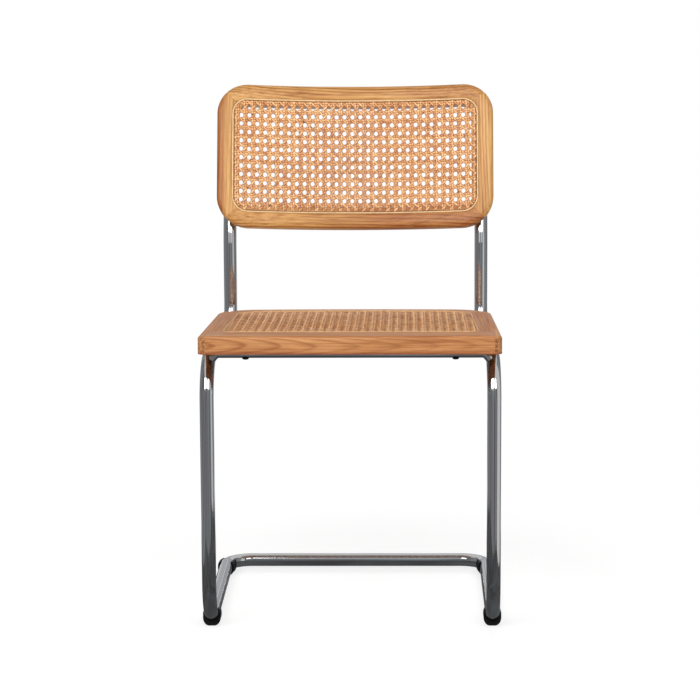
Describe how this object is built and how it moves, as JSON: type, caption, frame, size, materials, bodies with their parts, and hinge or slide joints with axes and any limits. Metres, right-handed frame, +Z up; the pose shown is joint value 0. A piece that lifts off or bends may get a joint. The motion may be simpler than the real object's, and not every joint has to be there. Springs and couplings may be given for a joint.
{
  "type": "cantilever chair",
  "caption": "Dining chair on a bent round chrome tube frame with no rear legs, with a wooden seat frame and a curved wooden back frame, both filled with woven cane.",
  "frame": {"origin": "on the floor under the middle of the chair: midway across, and midway between the seat's front edge and the backrest's rear edge", "axes": "+Z up, +X across the chair towards the right of someone who looks at its front, -Y the way the chair faces"},
  "size_m": [0.468, 0.5522, 0.821],
  "materials": {
    "chrome_tube": "polished",
    "bare_steel": "satin",
    "black_plastic": "satin",
    "honey_wood": "satin lacquer",
    "pale_wood": "raw",
    "cane": "satin",
    "reed": "satin",
    "dark_screw": "black oxide"
  },
  "bodies": {
    "root": {"frame_tube_left": "chrome_tube", "frame_tube_right": "chrome_tube", "rear_bar_sleeve": "bare_steel", "upright_plug_left": "black_plastic", "upright_plug_right": "black_plastic", "front_glide_left": "black_plastic", "front_glide_right": "black_plastic", "rear_glide_left": "black_plastic", "rear_glide_right": "black_plastic", "cross_brace": "chrome_tube", "seat_front_rail": "honey_wood", "seat_rear_rail": "honey_wood", "seat_side_rail_left": "honey_wood", "seat_side_rail_right": "honey_wood", "seat_cane": "cane", "seat_spline": "reed", "back_top_rail": "honey_wood", "back_bottom_rail": "honey_wood", "back_stile_left": "honey_wood", "back_stile_right": "honey_wood", "back_cane": "cane", "back_spline": "reed", "back_mitre_dowels": "pale_wood", "seat_screws": "dark_screw", "brace_screws": "dark_screw", "back_screws": "bare_steel"}
  },
  "joints": []
}
